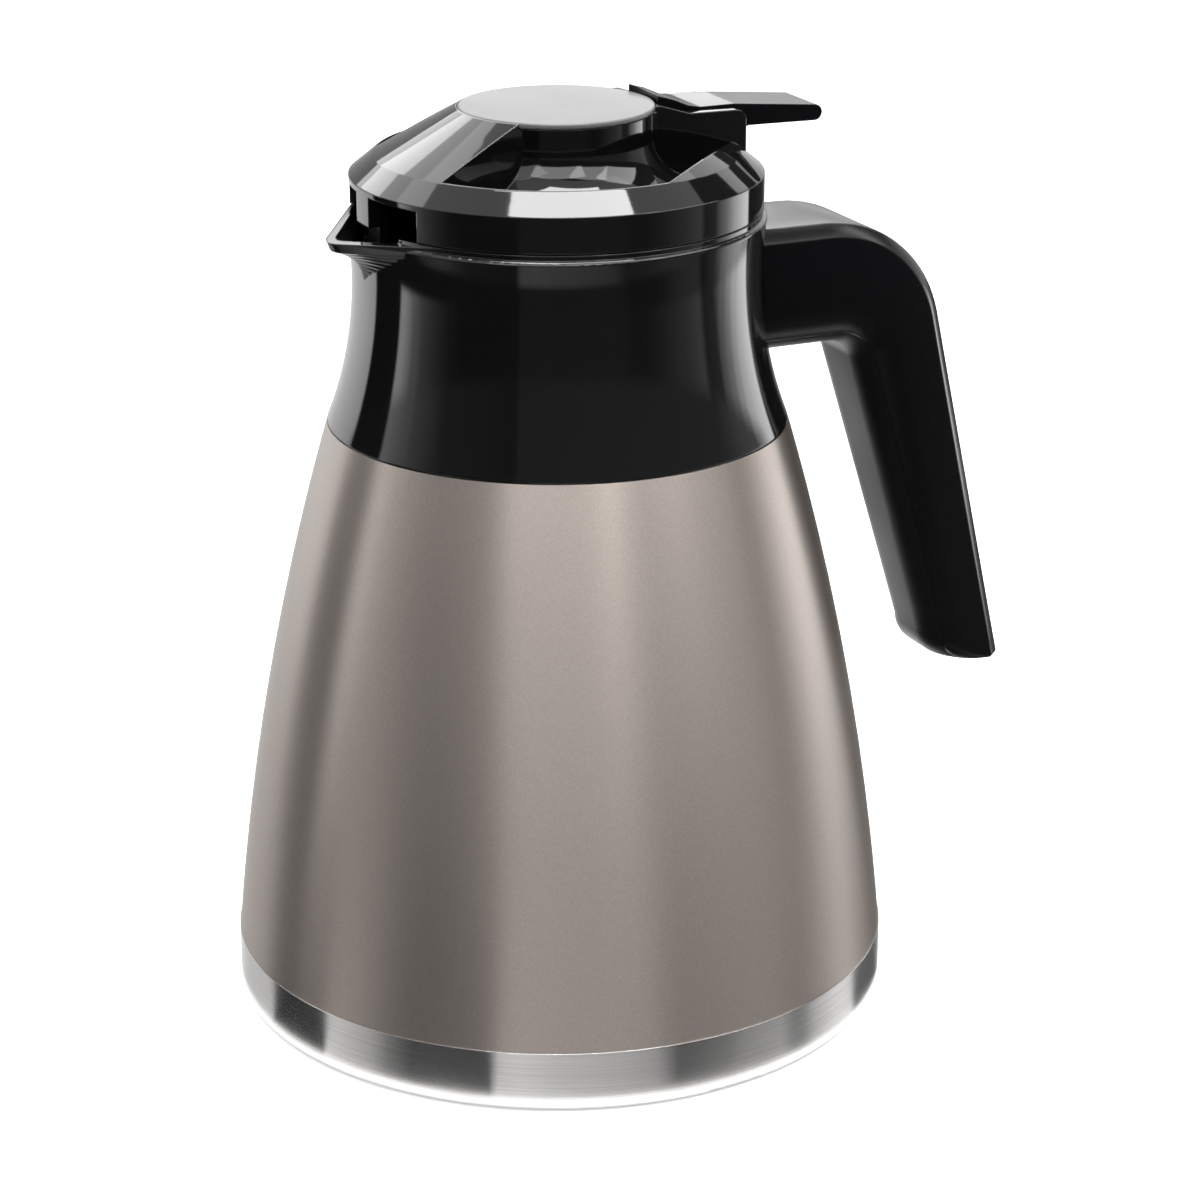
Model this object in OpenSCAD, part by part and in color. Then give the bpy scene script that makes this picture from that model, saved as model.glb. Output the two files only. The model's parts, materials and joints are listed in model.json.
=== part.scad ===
// Thermal carafe with a thumb lever in its lid.
// Millimetres, +Z up, origin at the centre of the foot, handle towards +X, spout towards -X.

/* [Steel body] */
// Radius of the painted wall just above the foot band
base_r = 80; // [77:0.5:84]
// Height at which the collar begins
collar_z = 145; // [140:1:150]
// Radius of the long bulging arc of the wall
bulge_r = 680; // [500:10:900]
// Thickness of the steel sheet
steel_t = 0.9; // [0.7:0.1:1.2]
// Width of the evacuated space between the two walls
vacuum_gap = 6; // [5:0.5:8]
// Inner radius of the steel neck
neck_r = 38.2; // [37:0.1:40]
// Width of the evacuated space in the neck
neck_gap = 1.1; // [1:0.1:1.4]
// Corner radius at the bottom of the inner flask
flask_corner_r = 14; // [8:1:20]

/* [Foot] */
// Height of the bare steel band
band_h = 15.3; // [12:0.1:20]
// Rounding of the band's lower edge
band_round = 2; // [1.5:0.5:4]
// Height of the recessed bottom plate
plate_z = 4.5; // [3.5:0.5:6]
// Distance of the soft foot ring inside the wall
foot_inset = 8; // [6:0.5:14]
// Width of the soft foot ring
foot_w = 7; // [5:1:10]
// How far the foot ring stands below the band
foot_proud = 0.4; // [0.3:0.1:0.8]
// Radius of the cap over the vacuum port
port_r = 11; // [8:1:15]

/* [Collar and spout] */
// Height of the collar from its foot to its rim
collar_h = 49.4; // [48:0.2:52]
// Depth of the steel rim below the collar's rim
steel_drop = 12.4; // [11.8:0.1:13]
// Wall beside the lid at the collar's waist
rim_t = 2; // [1.6:0.1:2.6]
// Depth of the waist below the rim
waist_drop = 14.4; // [12:0.2:17]
// Radius of the collar's hollow outer curve
flare_r = 96; // [90:1:110]
// Wall of the collar's skirt
collar_t = 2.6; // [2.2:0.1:3]
// Rounding of the rim's outer edge
rim_round = 0.85; // [0.6:0.05:1.2]
// Height of the ring that stands on the rim under the lid
upstand_h = 1.3; // [1:0.1:1.6]
// Reach of the spout beyond the rim
spout_out = 7.7; // [6:0.1:11]
// Radius of the spout's nose in plan
nose_r = 6.5; // [5:0.5:8]
// Depth of the lip's tip below the rim
lip_drop = 1.6; // [1:0.1:2.5]
// How far the lip's top reaches beyond its lower edge at the tip
lip_flare = 0.9; // [0:0.1:1.5]
// Height of the lip's upright edge at the tip
lip_h = 2.4; // [1.8:0.1:3.2]
// Depth below the rim at which the spout leaves the collar
beak_drop = 15; // [13:0.5:18]
// Exponent of the hollow underside, 1 for a straight one
beak_power = 2.9; // [1.6:0.1:3.4]
// Depth of the trough at the lid
trough_depth = 6.5; // [5:0.5:8]
// Wall of the spout
lip_t = 1.6; // [1.3:0.1:2]

/* [Handle] */
// Width of the handle's arm
handle_w = 32; // [28:1:36]
// Width of the handle at its free end
handle_end_w = 28; // [24:1:32]
// Depth of the arm's top face below the rim
arm_drop = 6.4; // [4:0.2:8]
// Height of the arm, top to underside
arm_h = 31; // [28:1:34]
// Length of the arm from the waist to the bend
arm_l = 16.1; // [13:0.5:20]
// Outer radius of the bend
elbow_r = 32.5; // [30:0.5:36]
// Inner radius of the bend
crook_r = 7; // [5:0.5:9]
// Lean of the grip's outer face, degrees from upright
outer_lean = 13.4; // [11:0.2:15]
// Lean of the grip's inner face, degrees from upright
inner_lean = 16.8; // [15:0.2:18]
// Height of the handle from its free end to the arm's top
grip_h = 119; // [108:1:128]
// Rounding of the inner corner at the free end
end_round = 8; // [6:0.5:10]
// Bevel along the handle's outer edges
handle_bevel = 3; // [2:0.5:4]
// Rounding along the handle's inner edges
handle_round = 10; // [8:0.5:11]
// Thickness of the handle's inner cover
cover_t = 3.5; // [3:0.5:4.5]
// Wall of the handle's shell
handle_wall = 2.6; // [2.2:0.2:3.2]
// Radius of the handle's screws
screw_r = 1.8; // [1.5:0.1:2.2]
// Length of the handle's screws
screw_l = 12; // [9:1:16]

/* [Lid] */
// Width of the lid beyond the steel neck
lid_over = 7.5; // [7:0.1:8.5]
// Gap between the lid and the ring it rests on
lid_gap = 0.3; // [0.3:0.1:0.6]
// Height of the lid's upright skirt
skirt_h = 8.3; // [7.8:0.1:9.5]
// Width of the bevelled rim in plan
bevel_w = 5.6; // [5:0.1:6.5]
// Rise of the bevelled rim
bevel_rise = 4.5; // [4:0.1:5.2]
// Rise of the cone from the bevel to the disc's seat
cone_rise = 9.6; // [8.8:0.1:10.6]
// Wall of the lid's mouldings
lid_t = 2.6; // [2.2:0.1:2.8]
// Radius of the top disc
disc_r = 23; // [21:0.2:24]
// Thickness of the top disc
disc_t = 1.4; // [1:0.1:2]
// Radius of the hollow of a finger scoop, in section
scoop_r = 12; // [11.4:0.1:12.6]
// Depth of a finger scoop below the bevel's inner edge
scoop_drop = 6.8; // [6:0.1:7.2]
// Radius of a scoop's outer wall in plan
scoop_wall_r = 105; // [95:1:140]
// Direction in which that wall meets the bevel, degrees from the handle
scoop_a = 78; // [70:1:86]
// Width of the ridge towards the spout, at the bevel
ridge_w = 43.6; // [38:0.2:46]
// Half angle of the pour window
window_a = 26; // [20:1:32]
// Width of the bar in the middle of the window
window_bar = 7.5; // [5:0.5:10]

/* [Thumb lever and valve] */
// Width of the thumb lever
lever_w = 16; // [13:0.5:17]
// Thickness of a tower cheek
cheek_t = 3.4; // [3:0.1:4]
// Distance of the lever's pin outside the disc's edge
pin_out = 12; // [11:0.2:13]
// Depth of the lever's pin below the disc's top
pin_drop = 7.8; // [7.2:0.1:8.4]
// Radius of the lever's pin
pin_r = 1.5; // [1.2:0.1:1.8]
// Reach of the thumb tab beyond the lid's edge
tab_out = 16.9; // [12:0.1:22]
// Radius of the valve stem
stem_r = 2.5; // [2.2:0.1:3]
// Radius of the valve seat's opening
seat_r = 10; // [8:0.5:12]
// Depth of the stopper below the neck ring's flange
stopper_depth = 20.5; // [19:0.5:24]
// Height of the stopper's gasket
gasket_h = 6; // [5:0.2:7]
// Wire radius of the valve spring
wire_r = 0.7; // [0.5:0.1:0.9]
// Number of turns of the valve spring
spring_turns = 7; // [5:1:8]

/* [Fits] */
// Clearance between pieces that move past each other
slack = 0.4; // [0.3:0.1:0.5]
// Running clearance of pins and rings, and of seats within one body
run = 0.05; // [0.03:0.01:0.08]
// Wall of the inner mouth sleeve
sleeve_t = 1.5; // [1.2:0.1:1.8]
// Thickness of the neck ring's flange
flange_t = 1; // [0.8:0.1:1.4]

/* [Hidden] */
$fn = 96;
far = 400;
eps = 0.01;

// Centre of an arc of radius r through p and q, on the left of the way from p to q
function arc_centre(p, q, r) =
    let (d = q - p, l = norm(d), h = sqrt(r * r - l * l / 4))
    (p + q) / 2 + h / l * [-d[1], d[0]];

// Steel neck, lid and collar, from the neck outwards
neck_out_r = neck_r + 2 * steel_t + neck_gap;
lid_r = neck_out_r + lid_over;
stopper_r = lid_r - lid_t;
recess_r = stopper_r + slack;
waist_r = recess_r + rim_t;
rim_z = collar_z + collar_h;
waist_z = rim_z - waist_drop;
steel_top_z = rim_z - steel_drop;
upstand_r = lid_r - 0.2;
flare_c = [waist_r + flare_r, waist_z];

// Outer and inner radius of the collar's skirt at height z
function collar_r(z) = flare_c[0] - sqrt(flare_r * flare_r - pow(z - waist_z, 2));
function collar_in_r(z) = flare_c[0] - sqrt(pow(flare_r + collar_t, 2) - pow(z - waist_z, 2));

// Painted wall, up to the joggle that the collar's foot goes over
shoulder_r = collar_r(collar_z);
shoulder_gap = 0.3;
joggle_h = 2;
joggle_bury = 3;
shoulder_room = 10;
joggle_r = collar_in_r(collar_z + joggle_h) - shoulder_gap;
shoulder_sum = joggle_r + collar_z + joggle_h;
bulge_c = arc_centre([base_r, band_h], [shoulder_r, collar_z], bulge_r);

// Radius of the painted wall at height z, set in by o
function wall_r(z, o) = bulge_c[0] + sqrt(pow(bulge_r - o, 2) - pow(z - bulge_c[1], 2));

band_r = base_r + 0.2;
foot_r = base_r - foot_inset;
flask_o = steel_t + vacuum_gap;
flask_z = plate_z + steel_t + vacuum_gap;
neck_bury = 5;
cap_t = 0.8;

// Neck ring and its seal
seal_h = 2.6;
ledge_z = steel_top_z + seal_h;
flange_top_z = ledge_z + flange_t;
sleeve_gap = 0.3;
sleeve_h = 10;
flange_gap = 0.1;
sleeve_r = neck_r - sleeve_gap - sleeve_t;
sleeve_z = steel_top_z - sleeve_h;

// Spout
spout_r = collar_r(rim_z) + spout_out;
lip_z = rim_z - lip_drop;
lip_low_z = lip_z - lip_h;
beak_z = rim_z - beak_drop;
trough_z = rim_z - trough_depth;
upstand_top_z = rim_z + upstand_h;
beak_bury = 0.5;
root_reach = 0.2;
beak_steps = 12;
nose_steps = 10;

// Lid
lid_z = upstand_top_z + lid_gap;
skirt_top_z = lid_z + skirt_h;
bevel_r = lid_r - bevel_w;
bevel_z = skirt_top_z + bevel_rise;
column_r = disc_r - 0.6;
column_z = bevel_z + cone_rise;
disc_z = column_z + disc_t;
pocket_r = disc_r + 0.2;
scoop_z = bevel_z - scoop_drop;
deck_z = scoop_z - 1.5;
cavity_z = deck_z + 2.5;
window_top_z = skirt_top_z - 1.3;

// Stopper and its gasket
floor_z = flange_top_z + slack;
plug_r = sleeve_r - 1;
plug_z = flange_top_z - stopper_depth;
seat_z = plug_z + 2;
gasket_z = flange_top_z - 6 - gasket_h;
groove_r = plug_r - 1;
gasket_r = sleeve_r - 0.2;
gasket_lip_r = 0.8;

// Thumb lever
slot_w = lever_w + 1.2;
tower_w = slot_w + 2 * cheek_t;
tower_x = bevel_r + 0.4;
tower_z = disc_z - 2.6;
tower_k = 2.6;
pin_x = disc_r + pin_out;
pin_z = disc_z - pin_drop;
pin_boss_r = 3.6;
tab_x = lid_r + tab_out;
tab_top_z = disc_z - 2;
tab_tip_z = tab_top_z - 2;
tab_low_z = pin_z;
tip_r = (tab_tip_z - tab_low_z) / 2;
arm_t = 3;
tine_r = 1.1;
nose_l = 2;
nose_rise = 1.8;
slope = [[3.2, 0.3], [7.1, -1.4]];
slope_l = 10.3;
arm_neck = [7, 1.2];
tine_z = cavity_z + 2.5;

// Valve, its stem and its spring
seal_t = 1.2;
head_z = seat_z + 0.3 + seal_t;
head_t = 3;
head_r = seat_r + 2.5;
hub_h = 3;
clip_z = tine_z + tine_r + 0.3;
clip_t = 1.3;
stem_neck_r = stem_r - 0.6;
stem_top_z = clip_z + clip_t + 1.3;
boss_r = stem_r + 2.5;
boss_z = deck_z - 3.5;
stem_seal_r = stem_r + 1.6;
stem_seal_h = 2;
spring_r = boss_r + 0.8 + wire_r;
spring_low_z = head_z + head_t;
spring_span = deck_z - spring_low_z;
ring_steps = 12;
wire_sides = 6;

// Handle
arm_top_z = rim_z - arm_drop;
arm_x = waist_r + arm_l;
grip_end_z = arm_top_z - grip_h;
elbow_c = [arm_x, arm_top_z - elbow_r];
crook_c = [arm_x + 4, arm_top_z - arm_h - crook_r];
outer_turn = 90 - outer_lean;
inner_turn = 90 - inner_lean;
grip_top_o = elbow_c + elbow_r * [cos(outer_lean), sin(outer_lean)];
grip_top_i = crook_c + crook_r * [cos(inner_lean), sin(inner_lean)];
end_bevel = 2;
elbow_steps = 8;
grip_steps = 5;
end_steps = 4;
screw_head_r = 2 * screw_r;
screw_head_h = 2;
screw_seat = collar_t - 0.5;
screw_drop = 8;
screw_pitch = 12;
screw_zs = [arm_top_z - screw_drop, arm_top_z - screw_drop - screw_pitch];
driver_l = 8;
screw_gap = 0.3;
head_gap = 0.4;

gloss_black = [0.03, 0.03, 0.035];
satin_black = [0.06, 0.06, 0.065];
silicone = [0.75, 0.75, 0.73];
steel = [0.72, 0.72, 0.7];
paint = [0.55, 0.5, 0.46];

module outer_shell() {
    color(paint)
    half_turned()
    difference() {
        shell_fill(0);
        shell_fill(steel_t);
    }
}

// Turns the part of a section that lies on the +X side of the axis
module half_turned() {
    rotate_extrude()
    intersection() {
        children();
        translate([0, -far]) square([far, 2 * far]);
    }
}

// Half section of everything inside the outer wall, set in by o
module shell_fill(o) {
    difference() {
        union() {
            intersection() {
                translate(bulge_c) circle(bulge_r - o, $fn = 720);
                translate([-1, band_h - eps * o]) square([far, collar_z - shoulder_gap - band_h - o / 2]);
            }
            intersection() {
                translate([-1, collar_z - joggle_bury - o]) square([joggle_r - o + 1, 3 * shoulder_room]);
                polygon([
                    [-1, band_h], [shoulder_sum - o * sqrt(2) - band_h, band_h],
                    [-1, shoulder_sum - o * sqrt(2) + 1]
                ]);
            }
            translate([-1, collar_z])
            square([neck_out_r - o + 1, steel_top_z - steel_t - collar_z + eps * o]);
        }
        translate([-2, -far]) square([far, far + band_h - eps * o]);
    }
}

module base_band() {
    color(steel)
    half_turned()
    difference() {
        band_fill(0);
        band_fill(steel_t);
    }
}

// Half section inside the foot band, set in by o
module band_fill(o) {
    r = band_r - o;
    z = foot_proud + o;
    k = band_round;
    difference() {
        union() {
            translate([-1, z + k - eps]) square([r + 1, band_h - z - k + eps + eps * o]);
            translate([-1, z]) square([r - k + 1, k]);
            translate([r - k, z + k]) circle(k, $fn = 48);
        }
        if (o == 0) translate([-2, -1]) square([foot_r + 3, far]);
    }
}

module base_plate() {
    color(steel)
    rotate_extrude()
    difference() {
        translate([0, plate_z]) square([band_r - steel_t - run, steel_t]);
        translate([0, plate_z - 1]) square([port_r / 2, 3]);
    }
}

module foot_ring() {
    color(satin_black)
    rotate_extrude()
    translate([foot_r - foot_w, 0])
    difference() {
        square([foot_w, plate_z]);
        translate([foot_w / 2 - 1, -1]) square([2, 1 + plate_z / 3]);
    }
}

module vacuum_seal() {
    color(steel)
    rotate_extrude()
    union() {
        translate([0, plate_z - cap_t]) square([port_r, cap_t]);
        translate([0, plate_z - cap_t]) square([port_r / 2 - run, cap_t + steel_t]);
    }
}

module inner_flask() {
    color(steel)
    union() {
        half_turned()
        difference() {
            flask_fill(0);
            flask_fill(steel_t);
        }
        rotate_extrude()
        translate([neck_r, steel_top_z - steel_t])
        square([neck_out_r - neck_r, steel_t]);
    }
}

// Half section of the inner flask, set in by o
module flask_fill(o) {
    k = flask_corner_r;
    r = wall_r(flask_z + k, flask_o + o);
    union() {
        intersection() {
            union() {
                translate([-1, flask_z + o]) square([r - k + o + 1, k]);
                translate([r - k + o, flask_z + k]) circle(k - o, $fn = 96);
                translate([-1, flask_z + k]) square([far, collar_z + shoulder_room - flask_z - k]);
            }
            translate(bulge_c) circle(bulge_r - flask_o - o, $fn = 720);
            polygon([
                [-1, 0], [shoulder_sum - (flask_o + o) * sqrt(2), 0],
                [-1, shoulder_sum - (flask_o + o) * sqrt(2) + 1]
            ]);
        }
        translate([-1, collar_z - neck_bury])
        square([neck_r + steel_t - o + 1, steel_top_z - collar_z + neck_bury + eps * o]);
    }
}

module collar() {
    color(gloss_black)
    difference() {
        union() {
            rotate_extrude() collar_profile(0);
            beak(0, 0, 0);
        }
        beak(lip_t, (trough_z - lip_t - beak_z) / (lip_low_z - beak_z), 3 * lip_t);
        translate([0, 0, ledge_z]) cylinder(r = recess_r, h = far);
        translate([0, 0, collar_z]) cylinder(r = neck_out_r + shoulder_gap, h = far);
        rotate_extrude() collar_hollow();
        screw_places() cylinder(r = screw_r + screw_gap, h = screw_l, center = true);
        screw_places()
        translate([0, 0, -screw_seat - driver_l])
        cylinder(r = screw_head_r + head_gap, h = driver_l);
    }
}

// Half section of the solid collar with the ring that stands on its rim, grown outwards by o
module collar_profile(o) {
    edge = [collar_r(rim_z - rim_round) - rim_round, rim_z - rim_round];
    difference() {
        translate([0, collar_z]) square([shoulder_r + 5, collar_h]);
        translate(flare_c) circle(flare_r - o, $fn = 360);
        difference() {
            translate(edge) square([shoulder_r, 2 * rim_round]);
            translate(edge) circle(rim_round, $fn = 48);
        }
    }
    translate([0, rim_z - rim_round]) square([upstand_r, rim_round + upstand_h]);
}

module collar_hollow() {
    difference() {
        translate([0, collar_z - 1]) square([shoulder_r + 5, steel_top_z - collar_z + 1 - 0.1]);
        translate(flare_c) circle(flare_r + collar_t, $fn = 360);
    }
}

// Angle from the spout's direction at which the tangents from a nose of reach r meet the collar
function tangent_a(c, n, r) = acos((c - n) / (r - n));

lip_c = collar_r(lip_low_z) - beak_bury;
joint_x = lip_c * cos(tangent_a(lip_c, nose_r, spout_r));
low_tilt = (rim_z - rim_round / 2 - lip_low_z) / (spout_r - joint_x);
top_tilt = (upstand_top_z - lip_z) / (spout_r - joint_x);

// Ring round the spout: a nose and its two tangents to the collar, at height z under the tip,
// c the radius of the collar's circle, n that of the nose, rising by tilt towards the lid
function beak_ring(z, reach, c, n, tilt) =
    let (a = tangent_a(c, n, reach), d = reach - n,
         plan = concat(
             [[-c * cos(a), c * sin(a)]],
             [for (i = [-nose_steps : nose_steps])
                 let (b = -i / nose_steps * a) [-d - n * cos(b), n * sin(b)]],
             [[-c * cos(a), -c * sin(a)]]
         ))
    [for (p = plan) [p[0], p[1], z + tilt * (p[0] + spout_r)]];

// Ring k of the hollow underside, 0 at the collar and 1 at the lip, walls set in by o
function underside_ring(k, o) =
    let (z = beak_z + k * (lip_low_z - beak_z), out = spout_r - lip_flare - collar_r(lip_low_z) + root_reach)
    beak_ring(z + o, collar_r(z) - root_reach + out * pow(k, beak_power) - o,
        collar_r(z) - beak_bury - o, nose_r - o, k * low_tilt);

// Spout with a hollow underside and a sloping upright lip, set in by o, from ring k upwards,
// its top raised by up
module beak(o, low_k, up) {
    loft(concat(
        [for (i = [0 : beak_steps]) underside_ring(low_k + (1 - low_k) * i / beak_steps, o)],
        [beak_ring(lip_z + up, spout_r - o, lip_c - o, nose_r - o, top_tilt)]
    ));
}

module neck_ring() {
    color(satin_black)
    rotate_extrude()
    union() {
        translate([sleeve_r, sleeve_z]) square([sleeve_t, flange_top_z - sleeve_z]);
        translate([sleeve_r, ledge_z]) square([recess_r - flange_gap - sleeve_r, flange_t]);
    }
}

module neck_seal() {
    color(silicone)
    rotate_extrude()
    translate([neck_r, steel_top_z])
    square([neck_out_r - neck_r, seal_h]);
}

function on_line(p, lean, z) = [p[0] + (p[1] - z) * tan(lean), z];
grip_low_z = grip_end_z + end_round;
grip_low_i = on_line(grip_top_i, inner_lean, grip_low_z);
end_c = [grip_low_i[0] + end_round, grip_low_z];

// Outline of the handle: outer point, inner point and width, from the collar to the free end
outline = concat(
    [for (x = [waist_r - 8, arm_x - 6]) [[x, arm_top_z], [x, arm_top_z - arm_h], handle_w]],
    [for (i = [0 : elbow_steps])
        let (a = 90 - i / elbow_steps * outer_turn, b = 90 - i / elbow_steps * inner_turn)
        [elbow_c + elbow_r * [cos(a), sin(a)], crook_c + crook_r * [cos(b), sin(b)], handle_w]],
    [for (i = [1 : grip_steps])
        let (k = i / grip_steps, w = handle_w + k * (handle_end_w - handle_w))
        [on_line(grip_top_o, outer_lean, grip_top_o[1] + k * (grip_low_z - 2 - grip_top_o[1])),
         on_line(grip_top_i, inner_lean, grip_top_i[1] + k * (grip_low_z - grip_top_i[1])), w]],
    [for (i = [1 : end_steps])
        let (a = i / end_steps * 80, z = grip_end_z + (1 - sin(a)) * end_round)
        [on_line(grip_top_o, outer_lean, grip_end_z + (end_steps - i) + end_bevel * 0.6),
         end_c - end_round * [cos(a), sin(a)] + [0, 0.12], handle_end_w]],
    [[on_line(grip_top_o, outer_lean, grip_end_z) - [end_bevel, 0],
      [end_c[0] + 0.5, grip_end_z], handle_end_w - 2 * end_bevel]]
);

// Half width of the handle's section at depth a from the inner side, for depth d and width w
function half_w(a, d, w) =
    let (k = handle_round)
    a < k ? w / 2 - k + sqrt(max(0, k * k - pow(k - a, 2))) : w / 2 - max(0, a - (d - handle_bevel));

// Depths at which one side of the section has its points, between depths a and b
function depths(a, b, d) =
    concat([for (i = [0 : 6]) min(b, max(a, handle_round * (1 - cos(i * 15))))],
        [min(b, d - handle_bevel), b]);

// Closed section between depths a and b
function section(o, i, w, a, b) =
    let (d = norm(o - i), e = (o - i) / d, q = depths(a, min(b, d), d), n = len(q))
    concat(
        [for (k = [0 : n - 1]) let (p = i + q[k] * e, y = half_w(q[k], d, w)) [p[0], y, p[1]]],
        [for (k = [n - 1 : -1 : 0]) let (p = i + q[k] * e, y = half_w(q[k], d, w)) [p[0], -y, p[1]]]
    );

// Solid through a list of sections with equal numbers of points
module loft(s) {
    n = len(s[0]);
    m = len(s);
    points = [for (r = s, p = r) p];
    sides = [for (j = [0 : m - 2], k = [0 : n - 1])
        let (a = j * n + k, b = j * n + (k + 1) % n, c = a + n, d = b + n)
        each [[a, c, b], [b, c, d]]];
    first = [for (k = [0 : n - 1]) k];
    last = [for (k = [n - 1 : -1 : 0]) (m - 1) * n + k];
    polyhedron(points, concat([first], sides, [last]));
}

module handle_shell() {
    color(satin_black)
    difference() {
        loft([for (s = outline) section(s[0], s[1], s[2], cover_t, far)]);
        handle_hollow();
        rotate_extrude() collar_profile(run);
        screw_places() cylinder(r = screw_r, h = 2 * screw_l, center = true);
    }
}

// Space inside the grip, from the bend to near the free end
module handle_hollow() {
    loft([for (k = [3 : elbow_steps + grip_steps + 1])
        let (s = outline[k], d = norm(s[0] - s[1]), e = (s[0] - s[1]) / d, y = s[2] / 2 - handle_wall - 2)
        let (p = s[1] + (cover_t - 1) * e, q = s[0] - handle_wall * e)
        [[p[0], y, p[1]], [q[0], y, q[1]], [q[0], -y, q[1]], [p[0], -y, p[1]]]]);
}

module handle_cover() {
    color(satin_black)
    difference() {
        loft([for (s = outline) section(s[0], s[1], s[2], 0, cover_t)]);
        rotate_extrude() collar_profile(run);
    }
}

// Places of the two screws, drilled along X through the collar into the arm
module screw_places() {
    for (z = screw_zs) translate([collar_r(z), 0, z]) rotate([0, 90, 0]) children();
}

module handle_screws() {
    color(steel)
    screw_places()
    translate([0, 0, -screw_seat]) {
        cylinder(r = screw_r, h = screw_l);
        translate([0, 0, -screw_head_h]) cylinder(r = screw_head_r, h = screw_head_h);
    }
}

module lid_cover() {
    color(gloss_black)
    difference() {
        union() {
            difference() {
                rotate_extrude() lid_profile();
                for (s = [0, 1]) mirror([0, s, 0]) scoop();
            }
            tower();
        }
        lever_slot();
        translate([0, 0, lid_z - 1]) cylinder(r = stopper_r + run, h = deck_z - lid_z + 1);
        translate([0, 0, cavity_z]) cylinder(r = column_r - lid_t, h = far);
        cylinder(r = stem_r + run, h = far);
        ridge_hollow();
        pour_window(lid_z - 1, window_top_z, lid_r + 1);
        translate([0, 0, column_z]) cylinder(r = pocket_r, h = far);
        lever_pin_shape();
    }
    color(gloss_black) stem_guide();
}

// Half section of the lid, whose cone runs up to the disc's edge
module lid_profile() {
    cone_top = bevel_z + (cone_rise + disc_t) * (bevel_r - pocket_r) / (bevel_r - pocket_r + 0.4);
    polygon([
        [0, lid_z], [lid_r, lid_z], [lid_r, skirt_top_z], [bevel_r, bevel_z],
        [pocket_r, cone_top], [0, cone_top]
    ]);
}

// Finger scoop on the +Y side, a round-bottomed ring groove kept within a plan outline
module scoop() {
    groove_out_r = bevel_r - 0.4;
    intersection() {
        rotate_extrude()
        intersection() {
            union() {
                translate([column_r + scoop_r - 0.2, scoop_z + scoop_r]) circle(scoop_r);
                translate([0, scoop_z + scoop_r]) square([far, far]);
            }
            translate([column_r, 0]) square([groove_out_r - column_r, far]);
        }
        linear_extrude(far) scoop_plan();
    }
}

// Plan of the +Y scoop, from the ridge to the tower, with a long arc as its outer wall
module scoop_plan() {
    near_tower = [bevel_r - 3.3, tower_w / 2];
    at_bevel = (bevel_r - 0.3) * [cos(scoop_a), sin(scoop_a)];
    intersection() {
        polygon([
            [-bevel_r, ridge_w / 2], [0, tower_w / 2 + 1], [column_r - 2, tower_w / 2],
            [bevel_r, tower_w / 2], [bevel_r, lid_r], [-bevel_r, lid_r]
        ]);
        translate(arc_centre(near_tower, at_bevel, scoop_wall_r)) circle(scoop_wall_r, $fn = 360);
    }
}

module tower() {
    rotate([90, 0, 0])
    linear_extrude(tower_w, center = true)
    difference() {
        polygon([
            [column_r - 6, deck_z], [column_r - 6, disc_z], [disc_r - 1.9, disc_z],
            [disc_r + 5.7, tower_z + 0.2], [tower_x, tower_z], [tower_x, deck_z]
        ]);
        difference() {
            translate([tower_x - tower_k, tower_z - tower_k]) square(tower_k + 1);
            translate([tower_x - tower_k, tower_z - tower_k]) circle(tower_k);
        }
    }
}

// Slot for the lever's arms inside the column, open above the bevel towards the handle
module lever_slot() {
    slot_x = bevel_r - 1.5;
    low_z = cavity_z + 2;
    tab_low = bevel_z + 0.6;
    rotate([90, 0, 0])
    linear_extrude(slot_w, center = true)
    polygon([
        [0, low_z], [slot_x, low_z], [slot_x, tab_low], [far, tab_low], [far, far], [0, far]
    ]);
}

// Hollow of the lid under its ridge towards the spout
module ridge_hollow() {
    hollow_w = 28;
    column_wall = 2;
    intersection() {
        rotate_extrude()
        polygon([
            [column_r + column_wall, deck_z - 1], [stopper_r, deck_z - 1], [stopper_r, window_top_z],
            [bevel_r - 1.2, bevel_z - 2.2], [column_r + column_wall, column_z - 2.4]
        ]);
        translate([-lid_r, -hollow_w / 2, 0]) cube([lid_r - column_r + 3.4, hollow_w, far]);
    }
}

// Two openings with a bar between them, from z to top and out to radius r
module pour_window(z, top, r) {
    half = r * tan(window_a);
    difference() {
        translate([0, 0, z]) linear_extrude(top - z) polygon([[0, 0], [-r, half], [-r, -half]]);
        cylinder(r = stopper_r - 3, h = far);
        translate([-far, -window_bar / 2, 0]) cube([far, window_bar, far]);
    }
}

module stem_guide() {
    difference() {
        translate([0, 0, boss_z]) cylinder(r = boss_r, h = deck_z - boss_z);
        translate([0, 0, boss_z - 1]) cylinder(r = stem_r + run, h = far);
        translate([0, 0, boss_z - 1]) cylinder(r = stem_seal_r, h = 1 + stem_seal_h);
    }
}

module stem_seal() {
    color(silicone)
    difference() {
        translate([0, 0, boss_z]) cylinder(r = stem_seal_r - run, h = stem_seal_h - run);
        translate([0, 0, boss_z - 1]) cylinder(r = stem_r + run, h = 4);
    }
}

module lid_disc() {
    color([0.62, 0.62, 0.62])
    rotate_extrude()
    union() {
        polygon([
            [0, column_z], [disc_r - 0.4, column_z], [disc_r, column_z + 0.4],
            [disc_r, disc_z - 0.3], [disc_r - 0.3, disc_z], [0, disc_z]
        ]);
        translate([column_r - lid_t - 2, column_z - 2]) square([1.9, 2]);
    }
}

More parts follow.
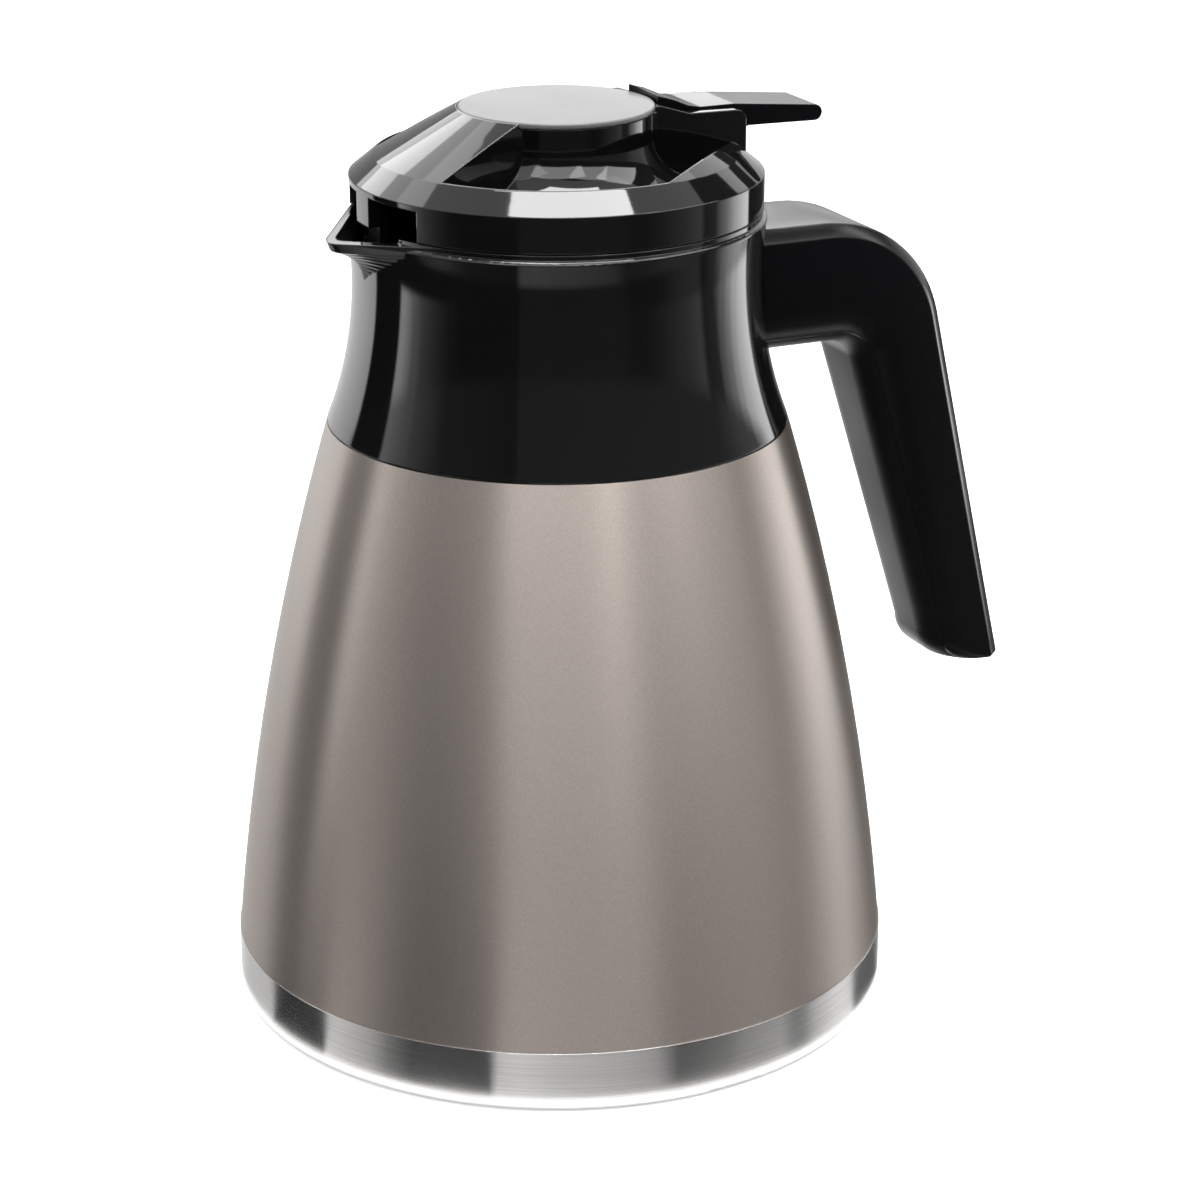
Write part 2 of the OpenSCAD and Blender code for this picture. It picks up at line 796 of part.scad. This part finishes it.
module stopper() {
    color(satin_black)
    difference() {
        rotate_extrude()
        polygon([
            [seat_r, plug_z], [plug_r, plug_z], [plug_r, gasket_z - 0.1],
            [groove_r, gasket_z - 0.1], [groove_r, gasket_z + gasket_h + 0.1],
            [plug_r, gasket_z + gasket_h + 0.1], [plug_r, floor_z], [stopper_r, floor_z],
            [stopper_r, deck_z], [stopper_r - 2, deck_z], [stopper_r - 2, floor_z + 2],
            [groove_r - 2, floor_z + 2], [groove_r - 2, seat_z], [seat_r, seat_z]
        ]);
        pour_window(floor_z + 2, deck_z + 1, stopper_r + 1);
    }
}

module stopper_gasket() {
    color(silicone)
    rotate_extrude()
    difference() {
        translate([groove_r + run, gasket_z]) square([gasket_r - groove_r - run, gasket_h]);
        for (k = [1, 3])
            translate([gasket_r, gasket_z + k * gasket_h / 4]) circle(gasket_lip_r, $fn = 24);
    }
}

module lever_pin() {
    color(steel) lever_pin_shape();
}

module lever_pin_shape() {
    translate([pin_x, 0, pin_z])
    rotate([90, 0, 0])
    cylinder(r = pin_r, h = tower_w - 3, center = true);
}

module thumb_lever() {
    color(satin_black)
    difference() {
        union() {
            rotate([90, 0, 0]) linear_extrude(lever_w, center = true) tab_profile();
            for (s = [-1, 1])
                translate([0, s * (stem_r + 0.5 + arm_t / 2), 0])
                rotate([90, 0, 0])
                linear_extrude(arm_t, center = true)
                arm_profile();
        }
        translate([pin_x, 0, pin_z])
        rotate([90, 0, 0])
        cylinder(r = pin_r + run, h = 2 * lever_w, center = true);
        translate([0, 0, column_z - 4.6]) cylinder(r = disc_r + 0.6, h = far);
    }
}

// Side outline of the thumb tab with its nose, its rounded tip and its pin boss
module tab_profile() {
    nose_x = disc_r - nose_l;
    union() {
        polygon([
            [nose_x, disc_z + nose_rise], [disc_r, disc_z] + slope[0], [disc_r, disc_z] + slope[1],
            [disc_r + slope_l, tab_top_z], [bevel_r - 0.8, tab_top_z], [tab_x - tip_r, tab_tip_z],
            [tab_x - tip_r, tab_low_z], [bevel_r + 3, tab_low_z + 0.3],
            [pin_x, pin_z - pin_boss_r + 0.4], [pin_x - pin_boss_r, pin_z + 1],
            [disc_r + 3, disc_z - 3], [nose_x, disc_z - 1.2]
        ]);
        translate([tab_x - tip_r, tab_low_z + tip_r]) circle(tip_r);
        translate([pin_x, pin_z]) circle(pin_boss_r);
    }
}

// Side outline of one arm that reaches from the pin boss under the stem clip
module arm_profile() {
    union() {
        translate([0, tine_z]) circle(tine_r);
        polygon([
            [0, tine_z - tine_r], [column_r / 2, tine_z - tine_r + 0.3], [pin_x, pin_z - 3],
            [pin_x, pin_z], [pin_x, pin_z] - arm_neck, [column_r / 2, tine_z + 1.6], [0, tine_z + tine_r]
        ]);
    }
}

module valve_stem() {
    color(steel)
    rotate_extrude()
    polygon([
        [0, head_z], [stem_r, head_z], [stem_r, clip_z], [stem_neck_r, clip_z],
        [stem_neck_r, clip_z + clip_t], [stem_r, clip_z + clip_t], [stem_r, stem_top_z - 0.5],
        [stem_r - 0.5, stem_top_z], [0, stem_top_z]
    ]);
}

module stem_clip() {
    color(steel)
    difference() {
        translate([0, 0, clip_z]) cylinder(r = stem_r + 2.4, h = clip_t);
        translate([0, 0, clip_z - 1]) cylinder(r = stem_neck_r, h = clip_t + 2);
        translate([-far, -1.2, clip_z - 1]) cube([far, 2.4, clip_t + 2]);
    }
}

module valve_head() {
    color(satin_black)
    difference() {
        union() {
            translate([0, 0, head_z]) cylinder(r = head_r, h = head_t);
            translate([0, 0, head_z + head_t]) cylinder(r = stem_r + 2, h = hub_h);
            translate([0, 0, head_z - seal_t]) cylinder(r = seat_r - 2, h = seal_t);
        }
        translate([0, 0, head_z]) cylinder(r = stem_r, h = far);
    }
}

module valve_seal() {
    color(silicone)
    rotate_extrude()
    translate([seat_r - 2, head_z - seal_t])
    square([head_r - seat_r + 2, seal_t]);
}

// Points of one ring of the spring's wire
function coil_ring(k) =
    let (n = spring_turns * ring_steps, a = 360 * k / ring_steps,
         z = spring_low_z + wire_r + (spring_span - 2 * wire_r) * k / n)
    [for (j = [0 : wire_sides - 1])
        let (b = 360 * j / wire_sides, r = spring_r + wire_r * cos(b))
        [r * cos(a), r * sin(a), z + wire_r * sin(b)]];

module valve_spring() {
    color(steel)
    loft([for (k = [0 : spring_turns * ring_steps]) coil_ring(k)]);
}

outer_shell();
base_band();
base_plate();
foot_ring();
inner_flask();
vacuum_seal();
collar();
neck_ring();
neck_seal();
handle_shell();
handle_cover();
handle_screws();
lid_cover();
lid_disc();
stopper();
lever_pin();
stem_seal();
valve_spring();
stopper_gasket();
thumb_lever();
valve_stem();
stem_clip();
valve_head();
valve_seal();
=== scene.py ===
import json
import math

import bmesh
import bpy
from mathutils import Matrix, Vector

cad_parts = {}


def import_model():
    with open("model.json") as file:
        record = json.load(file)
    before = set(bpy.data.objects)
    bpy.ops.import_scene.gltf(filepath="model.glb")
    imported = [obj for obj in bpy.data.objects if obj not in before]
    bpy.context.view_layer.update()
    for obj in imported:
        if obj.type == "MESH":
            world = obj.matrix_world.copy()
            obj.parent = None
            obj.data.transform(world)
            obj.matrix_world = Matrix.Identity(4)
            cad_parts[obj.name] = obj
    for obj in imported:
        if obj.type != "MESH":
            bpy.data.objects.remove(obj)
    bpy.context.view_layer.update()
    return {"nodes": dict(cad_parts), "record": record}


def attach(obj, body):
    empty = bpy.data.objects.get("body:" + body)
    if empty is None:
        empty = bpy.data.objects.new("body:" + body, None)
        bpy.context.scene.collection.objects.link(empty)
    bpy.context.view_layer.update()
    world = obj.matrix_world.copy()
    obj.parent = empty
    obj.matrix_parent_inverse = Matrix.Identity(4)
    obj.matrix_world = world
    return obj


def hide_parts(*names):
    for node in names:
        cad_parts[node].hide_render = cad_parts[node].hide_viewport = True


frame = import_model()
nodes = frame["nodes"]
SLOT_OF = {part["node"]: part["material_slot"] for part in frame["record"]["subparts"]}

# The photograph's camera, set up in the frame of its own heading and turned to the part's
HANDLE_AZIMUTH = math.radians(24.5)
PITCH = math.radians(19.812)
CAMERA_AT = Vector((0.010125, -0.78205, 0.3793))
FOCAL_PX = 3407.2
IMAGE_PX = 1200
SENSOR_MM = 36
CLIP_START, CLIP_END = 0.01, 50
TO_PART = Matrix.Rotation(-HANDLE_AZIMUTH, 4, "Z")


def in_part(x, y, z):
    """A point given right of, beyond and above the foot, as the camera sees it, in the part's frame."""
    return TO_PART @ Vector((x, y, z))


def link(name, data):
    """New object with the given data, in the scene."""
    obj = bpy.data.objects.new(name, data)
    bpy.context.scene.collection.objects.link(obj)
    return obj


def make_camera():
    data = bpy.data.cameras.new("photo_camera")
    data.sensor_width = SENSOR_MM
    data.lens = FOCAL_PX / IMAGE_PX * SENSOR_MM
    data.clip_start = CLIP_START
    data.clip_end = CLIP_END
    camera = link("photo_camera", data)
    tilt = Matrix.Rotation(math.pi / 2 - PITCH, 4, "X")
    camera.matrix_world = TO_PART @ Matrix.Translation(CAMERA_AT) @ tilt
    bpy.context.scene.camera = camera


make_camera()


def value_at(line, place):
    """Height at a place of a line through (place, height) points."""
    for (a, low), (b, high) in zip(line, line[1:]):
        if a <= place <= b:
            return low + (high - low) * (place - a) / (b - a)


# Materials, by the record's slots

BUMP_DISTANCE = 0.0002
BEVEL_SAMPLES = 6
ROUND_THE_AXIS = 0.25  # turn of the anisotropy that stretches highlights along the axis
PATCHY = (0.3, 0.7)  # range in which most of a noise's values lie


class Nodes:
    """Small helper for building a node material."""

    def __init__(self, name):
        self.mat = bpy.data.materials.new(name)
        self.mat.use_nodes = True
        self.tree = self.mat.node_tree
        self.shader = self.tree.nodes["Principled BSDF"]

    def new(self, kind, inputs=None, **values):
        n = self.tree.nodes.new(kind)
        for key, value in values.items():
            setattr(n, key, value)
        for key, value in (inputs or {}).items():
            self.put(n.inputs[key], value)
        return n

    def put(self, socket, value):
        if isinstance(value, bpy.types.NodeSocket):
            self.tree.links.new(value, socket)
        else:
            socket.default_value = value

    def set(self, **values):
        for key, value in values.items():
            self.put(self.shader.inputs[key.replace("_", " ")], value)

    def coords(self, scale=(1, 1, 1)):
        at = self.new("ShaderNodeTexCoord").outputs["Object"]
        return self.new("ShaderNodeMapping", {"Vector": at, "Scale": scale}).outputs["Vector"]

    def noise(self, vector, scale, detail=2.0, rough=0.5):
        inputs = {"Vector": vector, "Scale": scale, "Detail": detail, "Roughness": rough}
        return self.new("ShaderNodeTexNoise", inputs).outputs["Fac"]

    def span(self, fac, low, high, start=PATCHY[0], end=PATCHY[1]):
        """From low to high as the factor goes from start to end."""
        inputs = {"Value": fac, "From Min": start, "From Max": end, "To Min": low, "To Max": high}
        return self.new("ShaderNodeMapRange", inputs).outputs["Result"]

    def math(self, operation, a, b):
        n = self.new("ShaderNodeMath", operation=operation)
        self.put(n.inputs[0], a)
        self.put(n.inputs[1], b)
        return n.outputs[0]

    def mix(self, fac, a, b):
        """Mixed colour; a mix node's colour sockets come after those of its other data types."""
        n = self.new("ShaderNodeMix", data_type="RGBA")
        self.put(n.inputs[0], fac)
        self.put(n.inputs[6], a)
        self.put(n.inputs[7], b)
        return n.outputs[2]

    def rounded(self, radius):
        """Normal that rounds the sharp edges of a solid by the given radius, in millimetres."""
        inputs = {"Radius": radius / 1000}
        return self.new("ShaderNodeBevel", inputs, samples=BEVEL_SAMPLES).outputs["Normal"]

    def bump(self, height, strength, normal=None):
        inputs = {"Height": height, "Strength": strength, "Distance": BUMP_DISTANCE}
        if normal is not None:
            inputs["Normal"] = normal
        return self.new("ShaderNodeBump", inputs).outputs["Normal"]

    def stretch_highlights(self, amount):
        tangent = self.new("ShaderNodeTangent", direction_type="RADIAL", axis="Z").outputs["Tangent"]
        self.set(Anisotropic=amount, Anisotropic_Rotation=ROUND_THE_AXIS, Tangent=tangent)


def rgb(r, g, b):
    return (r, g, b, 1.0)


def darker(colour, share):
    return rgb(*[c * share for c in colour])


def taupe_paint():
    m = Nodes("taupe_paint")
    fine = m.noise(m.coords(), 2600, 1.0)
    around_axis = m.noise(m.coords((5, 5, 900)), 1.0, 3.0, 0.6)
    wide = m.noise(m.coords((1, 1, 0.4)), 14, 3.0)
    flakes = m.span(fine, 0, 1, 0.35, 0.65)
    m.set(Base_Color=m.mix(flakes, rgb(0.315, 0.276, 0.252), rgb(0.355, 0.312, 0.285)))
    m.set(Metallic=0.9, Roughness=m.span(wide, 0.37, 0.4))
    m.stretch_highlights(0.9)
    m.set(Normal=m.bump(m.math("ADD", fine, around_axis), 0.03))
    return m.mat


def brushed_band():
    m = Nodes("brushed_steel")
    around_axis = m.noise(m.coords((14, 14, 2600)), 1.0, 4.0, 0.7)
    wide = m.noise(m.coords((1, 1, 3)), 30, 2.0)
    m.set(Base_Color=m.mix(m.span(around_axis, 0, 1), rgb(0.56, 0.55, 0.54), rgb(0.68, 0.67, 0.66)))
    m.set(Metallic=1.0, Roughness=m.span(wide, 0.18, 0.23))
    m.stretch_highlights(0.8)
    m.set(Normal=m.bump(around_axis, 0.06, m.rounded(0.2)))
    return m.mat


def plain_steel(name, colour, rough):
    m = Nodes(name)
    wide = m.noise(m.coords(), 90, 3.0)
    m.set(Base_Color=m.mix(wide, darker(colour, 0.92), rgb(*colour)), Metallic=1.0)
    m.set(Roughness=m.span(wide, rough - 0.04, rough + 0.06))
    return m.mat


def moulded(name, colour, rough, grain, depth, level, edge=0.5):
    """Plastic or silicone; a pair of specular levels is for surfaces seen straight on and aslant."""
    m = Nodes(name)
    fine = m.noise(m.coords(), grain, 2.0)
    wide = m.noise(m.coords(), 22, 3.0)
    m.set(Base_Color=m.mix(m.span(wide, 0, 1), darker(colour, 0.85), rgb(*colour)))
    m.set(Roughness=m.span(wide, rough * 0.85, rough * 1.2))
    if isinstance(level, tuple):
        facing = m.new("ShaderNodeLayerWeight", {"Blend": 0.5}).outputs["Facing"]
        level = m.span(facing, *level, 0.25, 0.6)
    m.set(Specular_IOR_Level=level, Normal=m.bump(fine, depth, m.rounded(edge)))
    return m.mat


STEELS = {
    "flask_steel": dict(colour=(0.62, 0.62, 0.6), rough=0.28),
    "plain_steel": dict(colour=(0.66, 0.66, 0.65), rough=0.22),
}
MOULDINGS = {
    "gloss_black": dict(colour=(0.0028, 0.0029, 0.0032), rough=0.05, grain=500, depth=0.008, level=0.5),
    "satin_black": dict(colour=(0.002, 0.0021, 0.0026), rough=0.24, grain=1500, depth=0.04, level=(0.1, 0.9)),
    "grip_grey": dict(colour=(0.004, 0.004, 0.0042), rough=0.4, grain=1500, depth=0.06, level=(0.05, 0.12)),
    "disc_grey": dict(colour=(0.1, 0.1, 0.102), rough=0.36, grain=1800, depth=0.05, level=0.34, edge=0.4),
    "pale_silicone": dict(colour=(0.6, 0.6, 0.58), rough=0.45, grain=1200, depth=0.04, level=0.5),
    "soft_black": dict(colour=(0.012, 0.012, 0.012), rough=0.6, grain=1200, depth=0.08, level=0.4),
}
FINISH = {"taupe_paint": taupe_paint(), "brushed_steel": brushed_band()}
FINISH |= {name: plain_steel(name, **looks) for name, looks in STEELS.items()}
FINISH |= {name: moulded(name, **looks) for name, looks in MOULDINGS.items()}
for node, slot in SLOT_OF.items():
    nodes[node].data.materials.clear()
    nodes[node].data.materials.append(FINISH[slot])


# Handle, in millimetres. Its outline lies in the plane through spout and grip, as (x, z): an arm, an
# elbow outside and a crook inside with centres of their own, and a grip that leans out to a rounded end

WAIST_R, WAIST_Z, FLARE_R = 48.4, 180.0, 96.0
COLLAR_GAP = 0.06
ARM_TOP, ARM_LOW = 188.0, 157.0
ARM_STATIONS = (46, 52, 58.5)
ELBOW, ELBOW_R, OUTER_LEAN = Vector((64.5, 155.5)), 32.5, math.radians(13.4)
CROOK, CROOK_R, INNER_LEAN = Vector((68.5, 150.0)), 7.0, math.radians(16.8)
ELBOW_STEPS = 28
GRIP_STEPS = 12
OUTER_LOW, INNER_LOW = 75.0, 77.0
END_Z, END_R, END_TURN, END_STEPS = 69.0, 8.0, math.radians(80), 10
END_LIFT = 0.12
OUTER_END_TOP, OUTER_END_FALL = 74.2, 4.0
TIP_BEVEL, TIP_STEPS, TIP_BACK = 2.0, 5, 0.5
ARM_W, END_W = 32.0, 28.0
ROUND_R, ROUND_STEPS = 10.0, 12
EDGE_BEVEL = 3.0
# The bevel's two eased corners: depth past its start or short of the outside, and inset from the side
BEVEL_START = ((-0.5, 0), (-0.15, 0.06), (0.35, 0.42))
BEVEL_END = ((0.35, 2.58), (0.06, 3.15), (0, 3.5))
LINER_DEPTH = 3.5
SHARP_FROM = math.radians(40)


def collar_r(z):
    return WAIST_R + FLARE_R - math.sqrt(FLARE_R ** 2 - (z - WAIST_Z) ** 2)


def down_to(z, point, lean):
    """Where a line that leans out as it falls from a point comes to a height."""
    return Vector((point.x + (point.y - z) * math.tan(lean), z))


def polar(angle):
    return Vector((math.cos(angle), math.sin(angle)))


def between(a, b, share):
    return a + share * (b - a)


def tip_rows(outer, inner, last_outer, last_inner):
    """The rounded closing of the free end, down to its flat underside."""
    rows = []
    for i in range(1, TIP_STEPS + 1):
        u = i / TIP_STEPS * math.pi / 2
        down, inward = math.sin(u), 1 - math.cos(u)
        o = Vector((between(outer.x, last_outer.x, inward), between(outer.y, last_outer.y, down)))
        p = Vector((between(inner.x, last_inner.x, inward), between(inner.y, last_inner.y, down)))
        rows.append((o, p, END_W - 2 * TIP_BEVEL * inward))
    return rows


def handle_outline():
    """Outer point, inner point and width of the handle's sections, from the collar to the free end."""
    rows = [(Vector((x, ARM_TOP)), Vector((x, ARM_LOW)), ARM_W) for x in ARM_STATIONS]
    for i in range(ELBOW_STEPS + 1):
        share = i / ELBOW_STEPS
        outer = ELBOW + ELBOW_R * polar(between(math.pi / 2, OUTER_LEAN, share))
        inner = CROOK + CROOK_R * polar(between(math.pi / 2, INNER_LEAN, share))
        rows.append((outer, inner, ARM_W))
    top_o, top_i = outer, inner
    for i in range(1, GRIP_STEPS + 1):
        share = i / GRIP_STEPS
        outer = down_to(between(top_o.y, OUTER_LOW, share), top_o, OUTER_LEAN)
        inner = down_to(between(top_i.y, INNER_LOW, share), top_i, INNER_LEAN)
        rows.append((outer, inner, between(ARM_W, END_W, share)))
    centre = inner + Vector((END_R, 0))
    for i in range(1, END_STEPS + 1):
        share = i / END_STEPS
        outer = down_to(OUTER_END_TOP - OUTER_END_FALL * share, top_o, OUTER_LEAN)
        inner = centre - END_R * polar(END_TURN * share) + Vector((0, END_LIFT))
        rows.append((outer, inner, END_W))
    last_outer = down_to(END_Z, top_o, OUTER_LEAN) - Vector((TIP_BEVEL, 0))
    last_inner = Vector((centre.x + TIP_BACK, END_Z))
    return rows + tip_rows(outer, inner, last_outer, last_inner)


def half_section(depth, width):
    """Depth from the inner point and half width: round towards the body, bevelled along the outside."""
    side = []
    for i in range(ROUND_STEPS + 1):
        a = ROUND_R * (1 - math.cos(i / ROUND_STEPS * math.pi / 2))
        side.append((a, width / 2 - ROUND_R + math.sqrt(max(0, ROUND_R ** 2 - (ROUND_R - a) ** 2))))
    bevel = [(depth - EDGE_BEVEL + past, inset) for past, inset in BEVEL_START]
    bevel += [(depth - short, inset) for short, inset in BEVEL_END]
    return side + [(d, width / 2 - inset) for d, inset in bevel]


def cut_between(side, start, end):
    inside = [point for point in side if start < point[0] < end]
    return [(start, value_at(side, start)), *inside, (end, value_at(side, end))]


def section_ring(outer, inner, width, start, end):
    """Closed ring of points round one section, from one depth to another or to the outside."""
    depth = (outer - inner).length
    out = (outer - inner) / depth
    side = cut_between(half_section(depth, width), start, depth if end is None else end)
    ring = []
    for d, y in side + [(d, -half) for d, half in reversed(side)]:
        x, z = inner + d * out
        ring.append(Vector((x, y, z)))
    return ring


def skin(rings):
    """Closed mesh through rings of points given in millimetres."""
    bm = bmesh.new()
    grid = [[bm.verts.new(point / 1000) for point in ring] for ring in rings]
    for a, b in zip(grid, grid[1:]):
        for k in range(len(a)):
            n = (k + 1) % len(a)
            bm.faces.new((a[k], a[n], b[n], b[k]))
    bm.faces.new(list(reversed(grid[0])))
    bm.faces.new(grid[-1])
    bmesh.ops.recalc_face_normals(bm, faces=bm.faces)
    for face in bm.faces:
        face.smooth = True
    for edge in bm.edges:
        if edge.calc_face_angle() > SHARP_FROM:
            edge.smooth = False
    return bm


def handle_piece(name, start, end, node):
    """Smooth skin for a handle node between two depths, with its first ring laid on the collar."""
    rings = [section_ring(*row, start, end) for row in handle_outline()]
    for point in rings[0]:
        point.x = math.sqrt(collar_r(point.z) ** 2 - point.y ** 2) + COLLAR_GAP
    mesh = bpy.data.meshes.new(name)
    bm = skin(rings)
    bm.to_mesh(mesh)
    bm.free()
    mesh.materials.append(FINISH[SLOT_OF[node]])
    obj = link(name, mesh)
    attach(obj, "carafe")
    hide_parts(node)


handle_piece("handle_grip", LINER_DEPTH, None, "handle_shell")
handle_piece("handle_liner", 0, LINER_DEPTH, "handle_cover")


# Studio: floor, cards that only reflections see, and lamps. Lengths in metres; a level of 1 is white

FLOOR_HALF = 6.0
FLOOR_SHADE = 0.8
FLOOR_GLOW = 0.35
WORLD_LEVEL = 0.05

# Level of the cards, by the direction right of the camera, in degrees, that the wall mirroring them faces
WALL_CARDS = [
    (-89, 0.8), (-82, 1.05), (-74, 1.4), (-66, 1.9), (-60.5, 2.1), (-59.5, 0.01), (-48.5, 0.01),
    (-47.5, 3.0), (-46, 2.8), (-42, 1.1), (-38, 0.5), (-34, 0.22), (-30, 0.05), (-26, 0.01),
    (-10.5, 0.01), (-9.5, 0.09), (18, 0.09), (22, 0.04), (26, 0.05), (30, 0.12), (34, 0.25),
    (38, 0.36), (43, 0.6), (45, 0.12), (49, 0.2), (51, 0.9), (54, 1.6), (58, 3.3), (62, 3.9),
    (65.5, 3.9), (66.5, 0.03), (80, 0.05), (84, 0.3), (89, 0.6),
]
LOW_CARDS = [
    (-89, 0.6), (-60.5, 0.6), (-59.5, 0.01), (-44, 0.01), (-34, 0.02), (-10.5, 0.01), (-9.5, 0.08),
    (18, 0.08), (22, 0.01), (30, 0.04), (38, 0.25), (43, 0.28), (45, 0.05), (50, 0.25), (54, 1.4),
    (58, 2.2), (62, 2.2), (65, 1.2), (66.5, 0.02), (80, 0.1), (84, 0.4), (89, 0.8),
]
HIGH_CARDS = [
    (-89, 0.5), (-60.5, 0.5), (-59.5, 0.02), (-48.5, 0.02), (-47.5, 1.6), (-38, 0.6), (-30, 0.12),
    (-10.5, 0.05), (-9.5, 0.16), (45, 0.2), (52, 0.5), (66, 0.6), (70, 0.9), (89, 0.9),
]
TABLE_CARDS = [
    (-89, 0.9), (-82, 0.9), (-74, 0.65), (-60.5, 0.7), (-59.5, 0.04), (-44.5, 0.04), (-43.5, 0.85),
    (-38, 0.67), (-34, 0.5), (-30, 0.22), (-26, 0.08), (-11.5, 0.05), (-10, 0.8), (-6, 0.85),
    (0, 0.7), (12, 0.54), (17, 0.42), (21, 0.1), (26, 0.15), (30, 0.2), (34, 0.33), (42, 0.45),
    (45, 0.25), (48, 0.3), (50, 0.55), (54, 0.8), (58, 1.0), (63, 1.0), (65, 0.12), (78, 0.12),
    (82, 0.5), (85, 0.8), (89, 1.0),
]
CARDS_TO, CARDS_STEP = 89, 0.5
TABLE_Z = 0.0006
BAND_R, TABLE_REACHES = 0.0802, (0.006, 0.05, 0.2, 0.36)
NECK_R, CARD_REACH = 0.05, 0.42
STANDING_CARDS = [
    (LOW_CARDS, 0.001), (LOW_CARDS, 0.04), (WALL_CARDS, 0.05),
    (WALL_CARDS, 0.15), (HIGH_CARDS, 0.175), (HIGH_CARDS, 0.34),
]


def floor():
    """White floor that keeps the object's shadow and looks brighter to the camera and in reflections."""
    s = FLOOR_HALF
    mesh = bpy.data.meshes.new("floor")
    mesh.from_pydata([(-s, -s, 0), (s, -s, 0), (s, s, 0), (-s, s, 0)], [], [(0, 1, 2, 3)])
    m = Nodes("floor")
    m.set(Base_Color=rgb(FLOOR_SHADE, FLOOR_SHADE, FLOOR_SHADE), Roughness=0.9, Specular_IOR_Level=0.0)
    path = m.new("ShaderNodeLightPath").outputs
    mirrored = m.math("MAXIMUM", path["Is Glossy Ray"], path["Is Transmission Ray"])
    seen = m.math("MAXIMUM", path["Is Camera Ray"], mirrored)
    m.set(Emission_Color=rgb(1, 1, 1), Emission_Strength=m.math("MULTIPLY", seen, FLOOR_GLOW))
    mesh.materials.append(m.mat)
    link("floor", mesh)


def seen_from(theta, radius, reach):
    """Where a wall of this radius, facing theta right of the camera, mirrors level rays after reach."""
    t = math.radians(theta)
    x = radius * math.sin(t) + reach * math.sin(2 * t)
    y = radius * math.cos(t) + reach * math.cos(2 * t)
    return x, -y


def reflectors():
    """Pale and dark cards on the table and standing round the carafe, which only reflections see."""
    rings = [(TABLE_CARDS, BAND_R, reach, TABLE_Z) for reach in TABLE_REACHES]
    rings += [(cards, NECK_R, CARD_REACH, z) for cards, z in STANDING_CARDS]
    count = int(2 * CARDS_TO / CARDS_STEP) + 1
    thetas = [-CARDS_TO + i * CARDS_STEP for i in range(count)]
    verts = [in_part(*seen_from(t, radius, reach), z) for _, radius, reach, z in rings for t in thetas]
    glow = [value_at(cards, t) for cards, *_ in rings for t in thetas]
    starts = [j * count + i for j in range(len(rings) - 1) for i in range(count - 1)]
    faces = [(a, a + 1, a + count + 1, a + count) for a in starts]
    mesh = bpy.data.meshes.new("reflectors")
    mesh.from_pydata([tuple(v) for v in verts], [], faces)
    mesh.attributes.new("glow", "FLOAT", "POINT").data.foreach_set("value", glow)
    m = Nodes("reflectors")
    m.set(Base_Color=rgb(0, 0, 0), Roughness=1.0, Specular_IOR_Level=0.0, Emission_Color=rgb(1, 1, 1))
    m.set(Emission_Strength=m.new("ShaderNodeAttribute", attribute_name="glow").outputs["Fac"])
    mesh.materials.append(m.mat)
    obj = link("reflectors", mesh)
    for kind in ("camera", "diffuse", "shadow", "transmission", "volume_scatter"):
        setattr(obj, "visible_" + kind, False)


def world(level):
    w = bpy.data.worlds.new("studio")
    w.use_nodes = True
    w.node_tree.nodes["Background"].inputs["Color"].default_value = rgb(level, level, level)
    bpy.context.scene.world = w


def softbox(name, at, aim, width, height, level):
    """Rectangular lamp that looks as bright as the given level."""
    data = bpy.data.lights.new(name, "AREA")
    data.shape = "RECTANGLE"
    data.size = width
    data.size_y = height
    data.energy = level * math.pi * width * height
    obj = link(name, data)
    at, aim = in_part(*at), in_part(*aim)
    obj.matrix_world = Matrix.Translation(at) @ (at - aim).to_track_quat("Z", "Y").to_matrix().to_4x4()
    obj.visible_camera = False


MIDDLE = (0, 0, 0.12)
NECK = (0, 0, 0.2)
RING_R = 1.15


def around(azimuth, elevation):
    """Place on a ring round the carafe's middle, at an azimuth right of the camera's side."""
    a, e = math.radians(azimuth), math.radians(elevation)
    level = RING_R * math.cos(e)
    return (level * math.sin(a), -level * math.cos(a), MIDDLE[2] + RING_R * math.sin(e))


# Each lamp's name, place, aim, width, height and level
LAMPS = [
    ("over", (0.078, 0.02, 1.22), (0.078, 0.02, 0.2), 0.625, 0.6, 16),
    ("ceiling", (0, 0.3, 1.7), (0, 0.3, 0), 2.6, 2.6, 1.0),
    ("front_left", around(3, 42), MIDDLE, 1.03, 0.5, 4),
    ("front_right", around(44, 42), MIDDLE, 0.71, 0.5, 3.8),
    ("far_right", around(84, 42), MIDDLE, 0.8, 0.5, 4.8),
    ("rear_right", around(150, 40), MIDDLE, 0.4, 0.5, 1.8),
    ("side_left", around(-59.5, 42), MIDDLE, 1.64, 0.5, 1.7),
    ("rear_left", around(-136, 40), NECK, 0.72, 0.6, 2.5),
    ("rear", (-0.5, 1.15, 0.72), (-0.2, 0, 0.2), 2.0, 0.66, 2.8),
]

floor()
reflectors()
world(WORLD_LEVEL)
for lamp in LAMPS:
    softbox(*lamp)

scene = bpy.context.scene
scene.view_settings.view_transform = "Standard"
